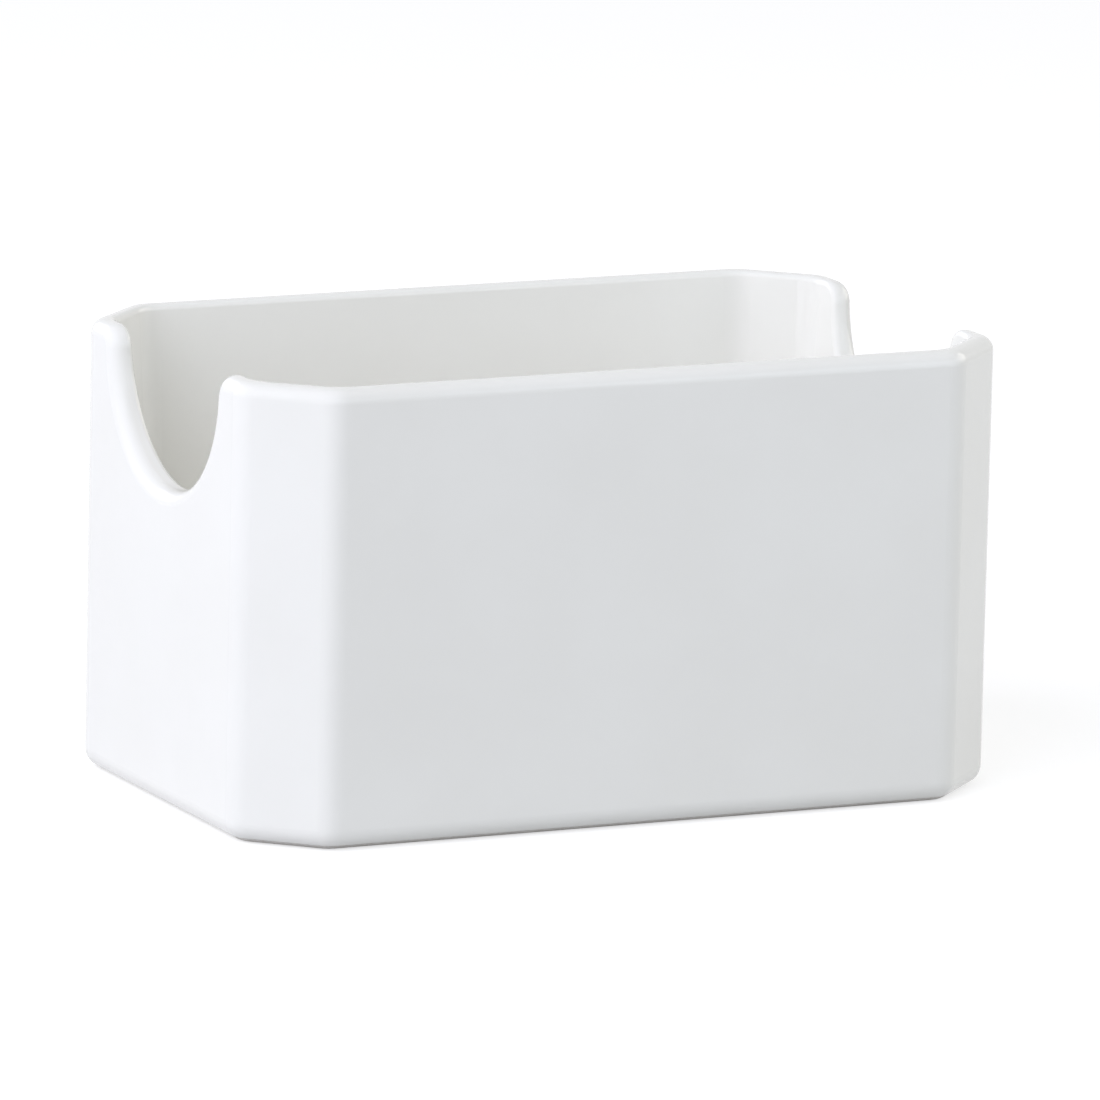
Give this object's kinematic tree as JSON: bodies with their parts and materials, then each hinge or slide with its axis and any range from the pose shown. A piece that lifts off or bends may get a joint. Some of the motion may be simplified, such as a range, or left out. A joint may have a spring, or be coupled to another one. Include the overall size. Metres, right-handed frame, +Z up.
{
  "type": "sugar packet holder",
  "caption": "Open-topped white glazed ceramic holder for sugar packets, rectangular with cut corners, a rounded rim and a round finger scoop in each short end.",
  "frame": {"origin": "on the table plane under the middle of the foot ring", "axes": "+X along the long side towards one scooped end, +Y across the holder, +Z up through the open top"},
  "size_m": [0.102, 0.0636, 0.0566],
  "materials": {
    "bare_clay": "matte",
    "white_glaze": "gloss"
  },
  "bodies": {
    "root": {"ceramic_body": "bare_clay", "glaze_coat": "white_glaze", "base_glaze": "white_glaze"}
  },
  "joints": []
}
